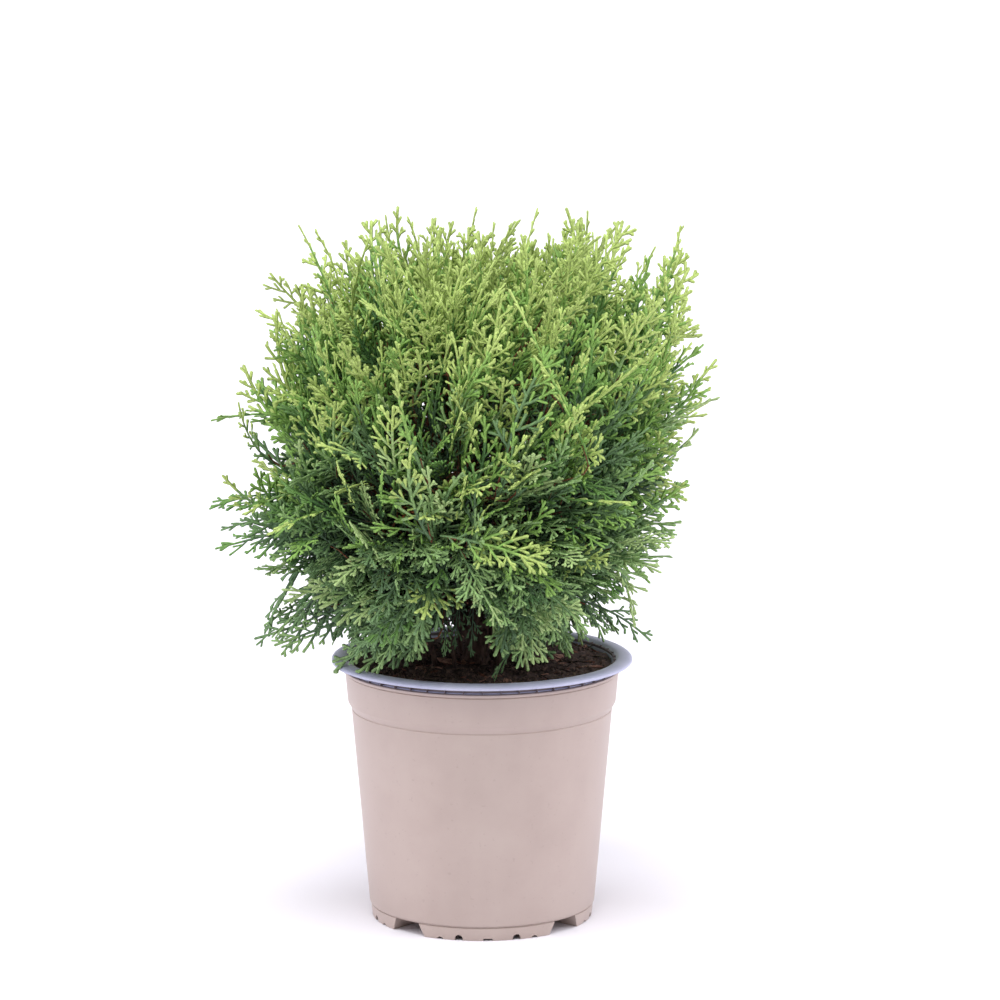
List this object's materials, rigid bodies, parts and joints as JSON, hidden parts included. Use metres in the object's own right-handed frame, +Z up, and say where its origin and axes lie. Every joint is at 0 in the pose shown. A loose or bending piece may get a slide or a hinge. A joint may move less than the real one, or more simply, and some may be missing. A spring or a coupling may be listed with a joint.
{
  "type": "potted thuja",
  "caption": "Dense globe-shaped dwarf conifer with flat upright scale-leaf sprays, in a round tapered nursery pot with a rolled lip.",
  "frame": {"origin": "middle of the pot's flat underside, where the pot stands", "axes": "+Z up, -Y towards the front, +X to the right seen from the front"},
  "size_m": [0.2801, 0.2684, 0.4028],
  "materials": {
    "pot_shell": "matte moulded taupe plastic",
    "pot_liner": "satin blue-grey plastic",
    "compost": "moist dark compost with bark chips",
    "bark": "stringy red-brown bark",
    "foliage": "waxy green scale leaves, lime at the tips"
  },
  "bodies": {
    "root": {"pot_shell": "pot_shell", "pot_liner": "pot_liner", "compost": "compost", "trunk": "bark", "stem_right": "bark", "stem_back": "bark", "bough_lower_1": "bark", "bough_lower_2": "bark", "bough_lower_3": "bark", "bough_lower_4": "bark", "bough_lower_5": "bark", "bough_lower_6": "bark", "bough_lower_7": "bark", "bough_middle_1": "bark", "bough_middle_2": "bark", "bough_middle_3": "bark", "bough_middle_4": "bark", "bough_middle_5": "bark", "bough_middle_6": "bark", "bough_middle_7": "bark", "bough_upper_2": "bark", "bough_upper_3": "bark", "bough_upper_5": "bark", "bough_upper_6": "bark", "bough_upper_7": "bark", "foliage_lower_1": "foliage", "foliage_lower_2": "foliage", "foliage_lower_3": "foliage", "foliage_lower_4": "foliage", "foliage_lower_5": "foliage", "foliage_lower_6": "foliage", "foliage_lower_7": "foliage", "foliage_middle_1": "foliage", "foliage_middle_2": "foliage", "foliage_middle_3": "foliage", "foliage_middle_4": "foliage", "foliage_middle_5": "foliage", "foliage_middle_6": "foliage", "foliage_middle_7": "foliage", "foliage_upper_1": "foliage", "foliage_upper_2": "foliage", "foliage_upper_3": "foliage", "foliage_upper_4": "foliage", "foliage_upper_5": "foliage", "foliage_upper_6": "foliage", "foliage_upper_7": "foliage", "foliage_top": "foliage"}
  },
  "joints": []
}
